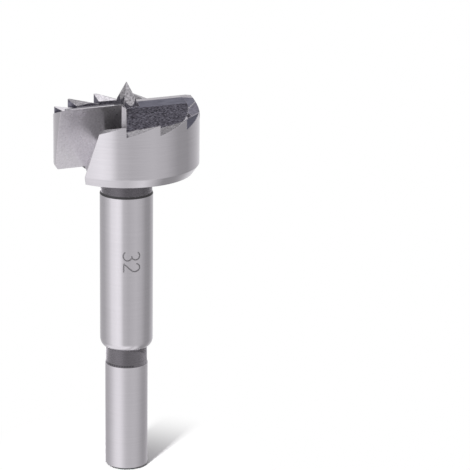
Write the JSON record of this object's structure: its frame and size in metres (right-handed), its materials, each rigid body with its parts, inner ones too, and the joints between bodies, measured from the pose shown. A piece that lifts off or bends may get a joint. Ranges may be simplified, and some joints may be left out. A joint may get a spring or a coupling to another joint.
{
  "type": "forstner bit",
  "caption": "One-piece wood boring bit: round shank and body, saw-toothed cup head with chip gullets, straight cutting edges and a ground centre point.",
  "frame": {"origin": "centre of the shank's flat end", "axes": "+Z along the axis from the shank to the centre point, X along the two cutting edges"},
  "size_m": [0.032, 0.032, 0.0889],
  "materials": {
    "tool_steel": "ground, with milled and heat-darkened surfaces"
  },
  "bodies": {
    "root": {"forstner_bit": "tool_steel"}
  },
  "joints": []
}
